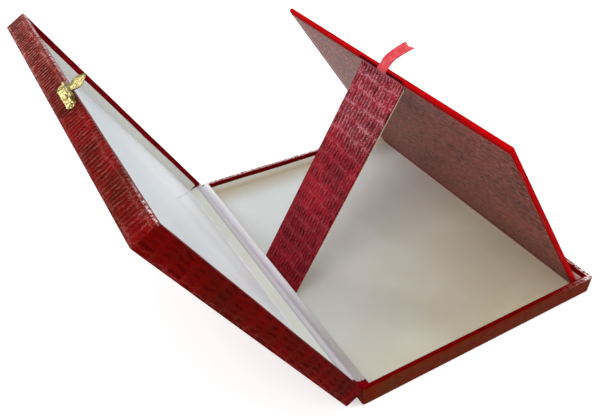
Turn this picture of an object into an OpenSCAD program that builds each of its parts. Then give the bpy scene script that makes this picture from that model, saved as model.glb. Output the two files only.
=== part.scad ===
// Hinged presentation case with a display panel that stands up on a rear strut.
// Millimetres. Origin: centre of the base tray's underside. +X runs along the hinge,
// -Y is the front with the clasp, +Y is the hinge side, +Z is up.

/* [Case] */
// Outside width, along the hinge
case_w = 284; // [200:1:400]
// Outside depth, front to hinge
case_d = 230; // [180:1:320]
// Height of the base tray
base_h = 16; // [14:0.5:30]
// Height of the lid tray
lid_h = 16; // [12:0.5:30]
// Radius of the upright outside corners
corner_r = 2; // [1.2:0.2:6]
// Angle between lid and base when the case stands open
lid_open = 122; // [95:1:165]

/* [Board and coverings] */
// Thickness of the wooden strips at the front and the sides
strip_t = 3.6; // [2.5:0.1:6]
// Thickness of the wooden strip at the hinge
back_strip_t = 5.6; // [4:0.1:8]
// Thickness of the floor and top boards
board_t = 1.8; // [1.2:0.1:3]
// Thickness of the embossed leatherette covering
cover_t = 0.6; // [0.4:0.1:1]
// Thickness of the lining on the inner faces of the walls
lining_t = 0.6; // [0.4:0.1:1]
// Thickness of the lining pad on the base floor
base_pad_t = 0.6; // [0.5:0.1:1.5]
// Thickness of the satin pad inside the lid
lid_pad_t = 3.0; // [0.5:0.1:4]
// Width of the leatherette turned down inside the rims
rim_turn = 3.5; // [1.5:0.5:6]
// Thickness of the satin hinge tape
tape_t = 0.45; // [0.3:0.05:0.6]
// Width of the hinge tape turned down inside the lid
tape_turn = 6; // [2:0.5:7]
// Gap between the two rims at the hinge line
hinge_gap = 0.3; // [0.2:0.1:1]

/* [Display panel] */
// Lean of the raised panel above the tray floor
panel_tilt = 54.4; // [48:0.1:64]
// Whole thickness of the panel
panel_t = 4.0; // [3.5:0.1:6]
// Thickness of the velvet on the panel
velvet_t = 0.7; // [0.5:0.1:1]
// Width of the velvet turned over onto the back
turn_in = 1.5; // [1.3:0.1:4]
// Rounding of the panel's velvet edges
velvet_r = 1.2; // [0.8:0.1:1.3]
// Thickness of the paper on the panel's back
back_paper_t = 0.5; // [0.4:0.1:0.8]
// Gap between the panel and each side wall
panel_side_gap = 1.2; // [0.5:0.1:4]
// Gap left behind the panel's top edge when it lies flat
panel_end_gap = 1.2; // [0.5:0.1:4]
// Gap between the panel's hinge edge and the front wall
panel_front_gap = 1.1; // [0.3:0.1:4]

/* [Strut] */
// Width of the strut
strut_w = 52.5; // [30:0.5:90]
// Place of the strut's middle along the panel
strut_x = -2.5; // [-40:0.5:40]
// Thickness of the strut's board
strut_board_t = 1.7; // [1.2:0.1:3]
// Thickness of the strut's leatherette
strut_cover_t = 0.5; // [0.4:0.1:0.8]
// Thickness of the paper on the strut's inner face
strut_paper_t = 0.4; // [0.3:0.1:0.6]
// Distance from the panel's top edge down to the strut's hinge
strut_drop = 8; // [7:0.5:20]
// Distance from the panel's top edge down to the strut's flap
flap_drop = 4.2; // [3.2:0.1:5]
// Depth of bare paper edge along the strut's sides
bare_edge = 0.9; // [0.5:0.1:1.2]

/* [Ribbon] */
// Width of the satin pull ribbon
ribbon_w = 11; // [6:0.5:20]
// Thickness of the ribbon
ribbon_t = 0.3; // [0.2:0.05:0.4]
// Length of ribbon that stands out in front of the panel
ribbon_reach = 25; // [15:1:40]
// Place of the ribbon's middle along the top edge
ribbon_x = -4.5; // [-30:0.5:30]
// Height of the ribbon's arch over the panel's top edge
ribbon_rise = 2; // [1:0.25:4]

/* [Clasp] */
// Place of the clasp's middle along the front
clasp_x = -3; // [-20:1:20]
// Distance between the two nails of the clasp plate
clasp_pitch = 22; // [21:0.5:32]
// Thickness of the stamped brass plates
brass_t = 0.7; // [0.5:0.1:1]
// Outside radius of the clasp's knuckles
knuckle_r = 1.5; // [1.2:0.1:2]
// Radius of the clasp's hinge pin
clasp_pin_r = 0.5; // [0.4:0.05:0.7]
// Width of the tongue's leaf
leaf_w = 15; // [12:0.2:15.8]
// Length of the tongue below its hinge pin
leaf_len = 13.6; // [13:0.2:16]

/* [Hidden] */
$fn = 48;
eps = 0.01;          // makes cuts pass right through
seat = 0.3;          // running clearance between bodies
fit = 0.05;          // clearance round nails and pins

half_w = case_w / 2;
half_d = case_d / 2;
side_total = cover_t + strip_t + lining_t;
back_total = cover_t + back_strip_t + lining_t;
split_z = base_h + hinge_gap / 2;          // height of the lid's hinge axis
board_top = cover_t + board_t;
floor_z = board_top + base_pad_t;          // top of the tray's floor
inner_w = case_w - 2 * side_total;
inner_front = -half_d + side_total;        // inner face of the front wall's lining
inner_back = half_d - back_total;          // inner face of the hinge wall's lining

// Display panel: u runs up the panel from its hinge, n is its front normal
panel_w = inner_w - 2 * panel_side_gap;
hinge_y = inner_front + panel_front_gap + panel_t;    // the panel's hinge line
hinge_z = floor_z + seat;
panel_len = inner_back - panel_end_gap - hinge_y;
cloth_t = 0.3;                             // panel's hinge cloth
cloth_leaf = 12;                           // width of each leaf of that cloth
cloth_w = panel_w - 8;
slot_w = 1;                                // slot in the floor pad for the cloth
board_n1 = panel_t - velvet_t;             // front face of the panel's board
tail_depth = ribbon_w / 5;                 // notch of the ribbon's swallow-tail end

// Strut: s runs down the strut from its hinge, m is its thickness, inner face at 0
strut_t = strut_board_t + strut_cover_t + strut_paper_t;
strut_top = 0.8;                           // strut starts just below its hinge line
pivot_u = panel_len - strut_drop;
pivot_y = hinge_y + pivot_u * cos(panel_tilt) + seat * sin(panel_tilt);
pivot_z = hinge_z + pivot_u * sin(panel_tilt) - seat * cos(panel_tilt);
foot_y = inner_back - seat - strut_t;      // the foot butts against the hinge wall
foot_z = floor_z + seat;
strut_len = norm([foot_y - pivot_y, pivot_z - foot_z]);
strut_slope = atan2(pivot_z - foot_z, foot_y - pivot_y);
strut_open = 180 - panel_tilt - strut_slope;   // angle between strut and panel

// Clasp: drawn flat on the front face, local Z points outward
plate_rise = 5;                            // middle of the lid plate above the split
plate_h = 6.2;
lobe_r = 1.7;
nail_head_r = 1.1;
nail_r = 0.5;
nail_len = 2.6;                            // how far a nail goes into the strip
pin_rise = 1.7;                            // hinge pin above the split
pin_out = brass_t + knuckle_r + seat;      // hinge pin's distance from the cover
knuckle_len = 20;                          // three knuckles side by side
mid_knuckle = 9;
knuckle_gap = 0.15;
tongue_t = 0.9;
leaf_mid = 5;                              // widest place of the leaf below the pin
tongue_out = brass_t + 0.9;                // inner face of the tongue's leaf
stud_drop = 6;                             // catch stud below the split
dome_r = 3.2;                              // radius of the sphere that forms the dome
dome_rise = 1.1;                           // height of the tongue's dome
stud_r = 1.9;                              // radius of the sphere that forms the stud
stud_rise = 1.0;
catch_pitch = 18;
catch_drop = 6;                            // middle of the catch plate below the split

brown_red = [0.36, 0.08, 0.07];
wine_red = [0.48, 0.05, 0.08];
satin_white = [0.85, 0.87, 0.90];
paper_cream = [0.80, 0.77, 0.70];
tape_white = [0.80, 0.79, 0.84];
board_grey = [0.62, 0.58, 0.52];
pine = [0.78, 0.65, 0.45];
velvet_red = [0.75, 0.02, 0.04];
back_brown = [0.45, 0.30, 0.28];
ribbon_red = [0.84, 0.22, 0.28];
brass = [0.80, 0.66, 0.32];

// ---------------------------------------------------------------- placing

// Turns the closed lid about its hinge into the open position
module open_lid() {
    translate([0, half_d, split_z])
        rotate([-lid_open, 0, 0])
            translate([0, -half_d, -split_z])
                children();
}

// Takes a tray that is drawn like the base and sets it, rim down, as the lid
module as_lid() {
    open_lid()
        translate([0, 0, base_h + hinge_gap + lid_h])
            mirror([0, 0, 1])
                children();
}

// Panel's own frame: Y up the panel, Z its front normal
module on_panel() {
    translate([0, hinge_y, hinge_z])
        rotate([panel_tilt, 0, 0])
            children();
}

// Strut's own frame: -Y down the strut, -Z its outer side
module on_strut() {
    on_panel()
        translate([strut_x, pivot_u, -seat])
            rotate([strut_open, 0, 0])
                children();
}

// Front face of the case: X along the front, Y up, Z outward
module on_front() {
    translate([clasp_x, -half_d, split_z])
        rotate([90, 0, 0])
            children();
}

// ---------------------------------------------------------------- shared shapes

// Box centred on X and Y, with its lower face at z0
module slab(w, d, z0, z1) {
    translate([-w / 2, -d / 2, z0])
        cube([w, d, z1 - z0]);
}

// The same box with round upright corners
module round_slab(w, d, z0, z1, r) {
    slab(w - 2 * r, d, z0, z1);
    slab(w, d - 2 * r, z0, z1);
    for (sx = [-1, 1], sy = [-1, 1])
        translate([sx * (w / 2 - r), sy * (d / 2 - r), z0])
            cylinder(r = r, h = z1 - z0);
}

// Footprint inside the leatherette
module core_slab(z0, z1) {
    round_slab(case_w - 2 * cover_t, case_d - 2 * cover_t, z0, z1, corner_r - cover_t);
}

// ---------------------------------------------------------------- tray

module tray_outer_sheet() {
    round_slab(case_w, case_d, 0, cover_t, corner_r);
}

module tray_board() {
    core_slab(cover_t, board_top);
}

// Strips across the full width, at the front and at the hinge
module tray_cross_strip(tray_h, y0, y1) {
    intersection() {
        core_slab(board_top, tray_h - cover_t);
        translate([-half_w, y0, 0])
            cube([case_w, y1 - y0, tray_h]);
    }
}

module tray_front_strip(tray_h) {
    tray_cross_strip(tray_h, -half_d, -half_d + cover_t + strip_t);
}

module tray_back_strip(tray_h) {
    tray_cross_strip(tray_h, half_d - cover_t - back_strip_t, half_d);
}

// Strips at the sides, butted between the cross strips; side is -1 or 1
module tray_side_strip(tray_h, side) {
    y0 = -half_d + cover_t + strip_t;
    y1 = half_d - cover_t - back_strip_t;
    x0 = side > 0 ? half_w - cover_t - strip_t : -half_w + cover_t;
    translate([x0, y0, board_top])
        cube([strip_t, y1 - y0, tray_h - cover_t - board_top]);
}

// Sheet of the lining's thickness against the four inner wall faces
module wall_sleeve(z0, z1) {
    difference() {
        translate([-inner_w / 2 - lining_t, inner_front - lining_t, z0])
            cube([inner_w + 2 * lining_t,
                  inner_back - inner_front + 2 * lining_t, z1 - z0]);
        translate([-inner_w / 2, inner_front, z0 - eps])
            cube([inner_w, inner_back - inner_front, z1 - z0 + 2 * eps]);
    }
}

// Room over the hinge wall, between the side walls
module hinge_wall_room(tray_h) {
    translate([-inner_w / 2, inner_back - eps, 0])
        cube([inner_w, back_total + 2 * eps, tray_h]);
}

// Leatherette round the walls, turned over the rim and down inside on three sides
module tray_wall_cover(tray_h) {
    z1 = tray_h - cover_t;
    difference() {
        round_slab(case_w, case_d, cover_t, tray_h, corner_r);
        core_slab(0, z1);
        // mouth of the tray, open towards the hinge for the satin tape
        translate([-inner_w / 2, inner_front, 0])
            cube([inner_w, inner_back - inner_front, tray_h + eps]);
        translate([-inner_w / 2, inner_front, z1])
            cube([inner_w, case_d, cover_t + eps]);
    }
    difference() {
        wall_sleeve(z1 - rim_turn, z1);
        hinge_wall_room(tray_h);
    }
}

// Lining on the inner wall faces, below the turned-down leatherette and tape
module tray_wall_lining(tray_h, tape_down) {
    z1 = tray_h - cover_t;
    difference() {
        wall_sleeve(board_top, z1);
        difference() {
            translate([-half_w, -half_d, z1 - rim_turn])
                cube([case_w, case_d, rim_turn + eps]);
            hinge_wall_room(tray_h);
        }
        if (tape_down > 0)
            translate([-inner_w / 2, inner_back - eps, z1 - tape_down])
                cube([inner_w, back_total, tape_down + eps]);
    }
}

module tray_pad(pad_t) {
    translate([-inner_w / 2, inner_front, board_top])
        cube([inner_w, inner_back - inner_front, pad_t]);
}

// Satin tape leaf on the rim of the hinge wall, turned down inside by tape_down
module tray_tape(tray_h, tape_down) {
    z1 = tray_h - cover_t;
    translate([-inner_w / 2, inner_back, z1])
        cube([inner_w, back_total, tape_t]);
    if (tape_down > 0)
        translate([-inner_w / 2, inner_back + lining_t - tape_t, z1 - tape_down])
            cube([inner_w, tape_t, tape_down + tape_t]);
}

// ---------------------------------------------------------------- base

module base_bottom_cover() { color(brown_red) tray_outer_sheet(); }

module base_board() { color(board_grey) tray_board(); }

module base_front_wall() {
    color(pine)
        difference() {
            tray_front_strip(base_h);
            catch_nail_holes();
        }
}

module base_back_wall() { color(pine) tray_back_strip(base_h); }

module base_left_wall() { color(pine) tray_side_strip(base_h, -1); }

module base_right_wall() { color(pine) tray_side_strip(base_h, 1); }

module base_wall_cover() {
    color(brown_red)
        difference() {
            tray_wall_cover(base_h);
            catch_nail_holes();
        }
}

module base_wall_lining() { color(paper_cream) tray_wall_lining(base_h, 0); }

// The pad is thinned over the cloth's leaf, and slotted where the cloth comes up
module base_floor_pad() {
    color(paper_cream)
        difference() {
            tray_pad(base_pad_t);
            translate([-cloth_w / 2, hinge_y - slot_w, board_top - eps])
                cube([cloth_w, cloth_leaf + slot_w, cloth_t + eps]);
            translate([-cloth_w / 2, hinge_y - slot_w, board_top])
                cube([cloth_w, slot_w, base_pad_t + eps]);
        }
}

module hinge_tape_base() { color(tape_white) tray_tape(base_h, 0); }

module panel_hinge_cloth_base() {
    color(tape_white)
        translate([-cloth_w / 2, hinge_y - slot_w, board_top])
            cube([cloth_w, cloth_leaf + slot_w, cloth_t]);
}

// ---------------------------------------------------------------- lid

module lid_top_cover() { color(brown_red) as_lid() tray_outer_sheet(); }

module lid_board() { color(board_grey) as_lid() tray_board(); }

module lid_front_wall() {
    color(pine)
        difference() {
            as_lid() tray_front_strip(lid_h);
            open_lid() clasp_nail_holes();
        }
}

module lid_back_wall() { color(pine) as_lid() tray_back_strip(lid_h); }

module lid_left_wall() { color(pine) as_lid() tray_side_strip(lid_h, -1); }

module lid_right_wall() { color(pine) as_lid() tray_side_strip(lid_h, 1); }

module lid_wall_cover() {
    color(brown_red)
        difference() {
            as_lid() tray_wall_cover(lid_h);
            open_lid() clasp_nail_holes();
        }
}

module lid_wall_lining() { color(satin_white) as_lid() tray_wall_lining(lid_h, tape_turn); }

module lid_satin_pad() { color(satin_white) as_lid() tray_pad(lid_pad_t); }

module hinge_tape_lid() { color(tape_white) as_lid() tray_tape(lid_h, tape_turn); }

// ---------------------------------------------------------------- clasp and catch

// Stamped plate with a three-lobed end at each side, its middle at the origin
module fleur_plate(pitch, h) {
    linear_extrude(brass_t) {
        square([pitch + lobe_r / 2, h], center = true);
        for (side = [-1, 1]) {
            for (up = [-1, 1])
                translate([side * pitch / 2, up * lobe_r])
                    circle(r = lobe_r);
            translate([side * (pitch / 2 + 1.2 * lobe_r), 0])
                circle(r = lobe_r);
        }
    }
}

// Places its children at both nails of a plate
module at_nails(pitch) {
    for (side = [-1, 1])
        translate([side * pitch / 2, 0, 0])
            children();
}

module nail_hole() {
    translate([0, 0, -cover_t - nail_len - fit])
        cylinder(r = nail_r + fit, h = cover_t + nail_len + brass_t + 2 * fit);
}

// Round-headed nail through plate and cover into the strip
module nail() {
    translate([0, 0, -cover_t - nail_len])
        cylinder(r = nail_r, h = cover_t + nail_len + brass_t + eps);
    translate([0, 0, brass_t])
        intersection() {
            translate([0, 0, -nail_head_r / 2])
                sphere(r = nail_head_r * 1.118);
            cylinder(r = nail_head_r, h = nail_head_r);
        }
}

module clasp_nail_holes() {
    on_front()
        translate([0, plate_rise, 0])
            at_nails(clasp_pitch) nail_hole();
}

module catch_nail_holes() {
    on_front()
        translate([0, -catch_drop, 0])
            at_nails(catch_pitch) nail_hole();
}

// Tube along X for a knuckle, from x0 to x1, on the hinge pin's line
module knuckle(x0, x1) {
    translate([x0, pin_rise, pin_out])
        rotate([0, 90, 0])
            cylinder(r = knuckle_r, h = x1 - x0);
}

module pin_bore() {
    translate([-knuckle_len, pin_rise, pin_out])
        rotate([0, 90, 0])
            cylinder(r = clasp_pin_r + fit, h = 2 * knuckle_len);
}

module clasp_plate() {
    outer = knuckle_len / 2;
    inner = mid_knuckle / 2 + knuckle_gap;
    color(brass)
        open_lid() on_front()
            difference() {
                union() {
                    translate([0, plate_rise, 0])
                        fleur_plate(clasp_pitch, plate_h);
                    for (side = [-1, 1]) {
                        x0 = side > 0 ? inner : -outer;
                        knuckle(x0, x0 + outer - inner);
                        // curl that joins the knuckle to the plate
                        translate([x0, pin_rise, brass_t / 2])
                            cube([outer - inner, knuckle_r, pin_out - brass_t / 2]);
                    }
                }
                pin_bore();
                translate([0, plate_rise, 0])
                    at_nails(clasp_pitch) nail_hole();
            }
}

module clasp_nails() {
    color(brass)
        open_lid() on_front()
            translate([0, plate_rise, 0])
                at_nails(clasp_pitch) nail();
}

module clasp_pin() {
    color(brass)
        open_lid() on_front()
            translate([-knuckle_len / 2, pin_rise, pin_out])
                rotate([0, 90, 0])
                    cylinder(r = clasp_pin_r, h = knuckle_len);
}

// Leaf that snaps over the catch: a disc drawn out to a point, with a dome
// pressed up from behind that takes the catch's stud
module clasp_tongue() {
    leaf_r = leaf_w / 2;
    tip = max(leaf_len - leaf_mid, leaf_r + seat);    // point below the disc's middle
    lean = asin(leaf_r / tip);                        // where its sides leave the disc
    color(brass)
        open_lid() on_front()
            difference() {
                union() {
                    translate([0, pin_rise - leaf_mid, tongue_out])
                        linear_extrude(tongue_t)
                            difference() {
                                union() {
                                    circle(r = leaf_r, $fn = 96);
                                    polygon([[0, -tip],
                                             [leaf_r * cos(lean), -leaf_r * sin(lean)], [0, 0],
                                             [-leaf_r * cos(lean), -leaf_r * sin(lean)]]);
                                }
                                translate([-leaf_w, leaf_mid])
                                    square(2 * leaf_w);
                            }
                    // neck from the leaf up to the middle knuckle
                    translate([-mid_knuckle / 2, pin_rise - 4, tongue_out])
                        cube([mid_knuckle, 4, tongue_t]);
                    knuckle(-mid_knuckle / 2, mid_knuckle / 2);
                    translate([0, -stud_drop, tongue_out + tongue_t])
                        cap(dome_r, dome_rise);
                }
                pin_bore();
                translate([0, -stud_drop, tongue_out - eps])
                    cap(stud_r + 0.4, stud_rise + 0.3);
                // room for the plate's knuckles beside the neck
                for (side = [-1, 1])
                    translate([side > 0 ? mid_knuckle / 2 + eps : -knuckle_len,
                               pin_rise - knuckle_r - seat, 0])
                        cube([knuckle_len - mid_knuckle / 2 - eps, leaf_len, leaf_len]);
            }
}

// Part of a sphere that stands the given height above its flat face
module cap(r, rise) {
    intersection() {
        translate([0, 0, rise - r])
            sphere(r = r);
        cylinder(r = r, h = rise + eps);
    }
}

module catch_plate() {
    color(brass)
        on_front()
            translate([0, -catch_drop, 0]) {
                difference() {
                    fleur_plate(catch_pitch, plate_h);
                    at_nails(catch_pitch) nail_hole();
                }
                translate([0, catch_drop - stud_drop, brass_t - eps])
                    cap(stud_r, stud_rise);
            }
}

module catch_nails() {
    color(brass)
        on_front()
            translate([0, -catch_drop, 0])
                at_nails(catch_pitch) nail();
}

// ---------------------------------------------------------------- display panel

// Box on the panel, inset from its four edges
module panel_slab(inset, n0, n1) {
    translate([0, panel_len / 2, 0])
        slab(panel_w - 2 * inset, panel_len - 2 * inset, n0, n1);
}

// The ribbon's way over the top edge
module ribbon_notch() {
    translate([ribbon_x - ribbon_w / 2 - fit, panel_len - cloth_leaf - seat,
               back_paper_t - ribbon_t])
        cube([ribbon_w + 2 * fit, cloth_leaf + seat + eps, ribbon_t]);
}

module cloth_notch() {
    translate([-cloth_w / 2 - fit, -eps, back_paper_t - cloth_t])
        cube([cloth_w + 2 * fit, cloth_leaf + seat, cloth_t]);
}

module panel_board() {
    color(board_grey) on_panel() panel_slab(velvet_t, back_paper_t, board_n1);
}

// The panel's outside, with its edges and corners rounded by the velvet
module velvet_slab() {
    half_a = panel_w / 2 - velvet_r;
    half_b = panel_len / 2 - velvet_r;
    translate([0, panel_len / 2, 0]) {
        slab(2 * half_a, 2 * half_b, 0, panel_t);
        round_slab(panel_w, panel_len, velvet_r, panel_t - velvet_r, velvet_r);
        for (n = [velvet_r, panel_t - velvet_r]) {
            for (side = [-1, 1]) {
                translate([-half_a, side * half_b, n])
                    rotate([0, 90, 0]) cylinder(r = velvet_r, h = 2 * half_a);
                translate([side * half_a, half_b, n])
                    rotate([90, 0, 0]) cylinder(r = velvet_r, h = 2 * half_b);
            }
            for (sx = [-1, 1], sy = [-1, 1])
                translate([sx * half_a, sy * half_b, n])
                    sphere(r = velvet_r);
        }
    }
}

// Velvet on the front, wrapped round the edges and turned in on the back
module panel_velvet() {
    color(velvet_red)
        on_panel()
            difference() {
                velvet_slab();
                panel_slab(velvet_t, back_paper_t, board_n1);
                panel_slab(turn_in, -eps, back_paper_t + eps);
                ribbon_notch();
                cloth_notch();
            }
}

module panel_back_paper() {
    color(back_brown)
        on_panel()
            difference() {
                panel_slab(turn_in, 0, back_paper_t);
                ribbon_notch();
                cloth_notch();
            }
}

module panel_hinge_cloth() {
    color(tape_white)
        on_panel()
            translate([-cloth_w / 2, 0, back_paper_t - cloth_t])
                cube([cloth_w, cloth_leaf, cloth_t]);
}

// Glued under the back paper, then arched over the top edge and out in front
module ribbon_tab() {
    n0 = back_paper_t - ribbon_t;
    span = panel_t + ribbon_reach - n0;
    arch_r = span * span / (8 * ribbon_rise) + ribbon_rise / 2;
    color(ribbon_red)
        on_panel()
            translate([ribbon_x - ribbon_w / 2, panel_len, n0]) {
                translate([0, -cloth_leaf, 0])
                    cube([ribbon_w, cloth_leaf, ribbon_t]);
                intersection() {
                    translate([0, ribbon_rise - arch_r, span / 2])
                        rotate([0, 90, 0])
                            difference() {
                                cylinder(r = arch_r, h = ribbon_w, $fn = 360);
                                translate([0, 0, -eps])
                                    cylinder(r = arch_r - ribbon_t,
                                             h = ribbon_w + 2 * eps, $fn = 360);
                            }
                    // swallow-tailed strip, seen from above
                    translate([0, ribbon_rise + eps, 0])
                        rotate([90, 0, 0])
                            linear_extrude(ribbon_rise + eps)
                                polygon([[0, 0], [ribbon_w, 0], [ribbon_w, span],
                                         [ribbon_w / 2, span - tail_depth], [0, span]]);
                }
            }
}

// Leatherette flap that hangs the strut, glued below the panel's top edge
module strut_flap() {
    color(wine_red)
        on_panel()
            translate([strut_x - strut_w / 2, pivot_u + seat, -strut_cover_t])
                cube([strut_w, strut_drop - flap_drop - seat, strut_cover_t]);
}

// ---------------------------------------------------------------- strut

// Box on the strut: inset from both sides, from s0 to s1 down it, m0 to m1 outward
module strut_slab(inset, s0, s1, m0, m1) {
    translate([inset - strut_w / 2, -s1, -m1])
        cube([strut_w - 2 * inset, s1 - s0, m1 - m0]);
}

module strut_board() {
    color(board_grey)
        on_strut()
            strut_slab(strut_cover_t, strut_top, strut_len - strut_cover_t,
                       strut_paper_t, strut_paper_t + strut_board_t);
}

// Leatherette on the outer face, wrapped round the sides and the foot
module strut_cover() {
    color(wine_red)
        on_strut()
            difference() {
                strut_slab(0, strut_top, strut_len, bare_edge, strut_t);
                strut_slab(strut_cover_t, 0, strut_len - strut_cover_t,
                           0, strut_paper_t + strut_board_t);
            }
}

module strut_back_paper() {
    color(paper_cream)
        on_strut()
            strut_slab(0, strut_top, strut_len, 0, strut_paper_t);
}

// ---------------------------------------------------------------- assembly

base_bottom_cover();
base_board();
base_front_wall();
base_back_wall();
base_left_wall();
base_right_wall();
base_wall_cover();
base_wall_lining();
base_floor_pad();
hinge_tape_base();
panel_hinge_cloth_base();
catch_plate();
catch_nails();
lid_top_cover();
lid_board();
lid_front_wall();
lid_back_wall();
lid_left_wall();
lid_right_wall();
lid_wall_cover();
lid_wall_lining();
lid_satin_pad();
hinge_tape_lid();
clasp_plate();
clasp_nails();
clasp_pin();
clasp_tongue();
panel_board();
panel_velvet();
panel_back_paper();
panel_hinge_cloth();
ribbon_tab();
strut_flap();
strut_board();
strut_cover();
strut_back_paper();
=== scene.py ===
import math

import bpy
import numpy as np
from mathutils import Matrix, Vector


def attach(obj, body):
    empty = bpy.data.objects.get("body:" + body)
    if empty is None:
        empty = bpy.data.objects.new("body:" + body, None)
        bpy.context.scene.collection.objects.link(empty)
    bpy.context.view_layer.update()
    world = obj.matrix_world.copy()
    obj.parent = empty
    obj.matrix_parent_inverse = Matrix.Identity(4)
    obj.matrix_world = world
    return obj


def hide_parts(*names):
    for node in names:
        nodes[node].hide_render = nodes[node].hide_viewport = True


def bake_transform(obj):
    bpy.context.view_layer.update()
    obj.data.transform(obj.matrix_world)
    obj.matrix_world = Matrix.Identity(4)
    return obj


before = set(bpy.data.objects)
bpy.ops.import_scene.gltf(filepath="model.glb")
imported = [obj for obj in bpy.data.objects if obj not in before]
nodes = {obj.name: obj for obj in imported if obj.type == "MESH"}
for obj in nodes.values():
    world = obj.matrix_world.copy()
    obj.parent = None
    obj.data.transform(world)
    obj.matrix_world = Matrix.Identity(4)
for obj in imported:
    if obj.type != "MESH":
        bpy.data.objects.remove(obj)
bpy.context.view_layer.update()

MM = 0.001

# ------------------------------------------------------------------ sizes, in mm and degrees
HALF_W, HALF_D = 142, 115                            # half of a tray's width and depth
RIM_Z = 16.15                                        # plane between the closed trays' rims
IN_X, IN_FRONT, IN_BACK = 137.2, -110.2, 108.2       # inner faces of a tray's walls
LINING_TOP = 12.05                                   # behind the turned-in leatherette
PAD_UNDER = 2.42                                     # underside of both trays' pads
PAD_GAP = 0.1                                        # between a pad and the walls
LID_OPEN, PANEL_TILT, STRUT_FOLD = 122, 54.4, 64.4549
PANEL_Y, PANEL_Z = -105.1, 3.3                       # the panel's hinge line
PANEL_L, PANEL_W, PANEL_T = 212.1, 272.0, 4.0
STRUT_X, STRUT_W, STRUT_L, STRUT_T = -2.5, 52.5, 189.28, 2.6
STRUT_U, STRUT_N = 204.1, -0.3                       # the strut's hinge line on the panel
RIBBON_X, RIBBON_W, RIBBON_T = -4.5, 11, 0.25
CLASP_X = -3.0


# ------------------------------------------------------------------ frames, in mm
def move(x, y, z):
    return Matrix.Translation((x, y, z))


def turn(degrees):
    """A turn about the x axis."""
    return Matrix.Rotation(math.radians(degrees), 4, "X")


WORLD = Matrix.Identity(4)
# LID takes the closed lid to the open lid. LID_UP is the lid as a tray that opens towards +z.
LID = move(0, HALF_D, RIM_Z) @ turn(-LID_OPEN) @ move(0, -HALF_D, -RIM_Z)
LID_UP = LID @ move(0, 0, 2 * RIM_Z) @ Matrix.Diagonal((1, 1, -1, 1))
# y runs up the panel and z out of its velvet face; -y runs down the strut and -z out of it
PANEL = move(0, PANEL_Y, PANEL_Z) @ turn(PANEL_TILT)
STRUT = PANEL @ move(STRUT_X, STRUT_U, STRUT_N) @ turn(STRUT_FOLD)
# the clasp's frame on the lid's front wall: y away from the rim, z outwards
FRONT = LID @ move(0, -HALF_D, RIM_Z) @ turn(90)


def at(T, *p):
    """A point of a local frame in millimetres, as a world point in metres."""
    return (T @ Vector(p)) * MM


# ------------------------------------------------------------------ camera, fitted to the photo
cam_data = bpy.data.cameras.new("camera")
cam = bpy.data.objects.new("camera", cam_data)
bpy.context.scene.collection.objects.link(cam)
cam_data.sensor_fit = "HORIZONTAL"
cam_data.sensor_width = 36
cam_data.lens = 38.191
cam_data.clip_start, cam_data.clip_end = 0.01, 20
right = Vector((-0.50077313, -0.86555371, 0.00656142))
down = Vector((-0.52633593, 0.29848051, -0.79616573))
ahead = Vector((0.68716574, -0.40215191, -0.60504304))
cam.matrix_world = (Matrix.Translation(Vector((-0.353364, 0.291171, 0.378761)))
                    @ Matrix((right, -down, -ahead)).transposed().to_4x4())
bpy.context.scene.camera = cam


# ------------------------------------------------------------------ material tools
def S(r, g, b):
    """An sRGB colour, 0 to 255, as a linear one."""
    out = []
    for c in (r, g, b):
        c /= 255
        out.append(c / 12.92 if c <= 0.04045 else ((c + 0.055) / 1.055) ** 2.4)
    return (*out, 1)


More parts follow.
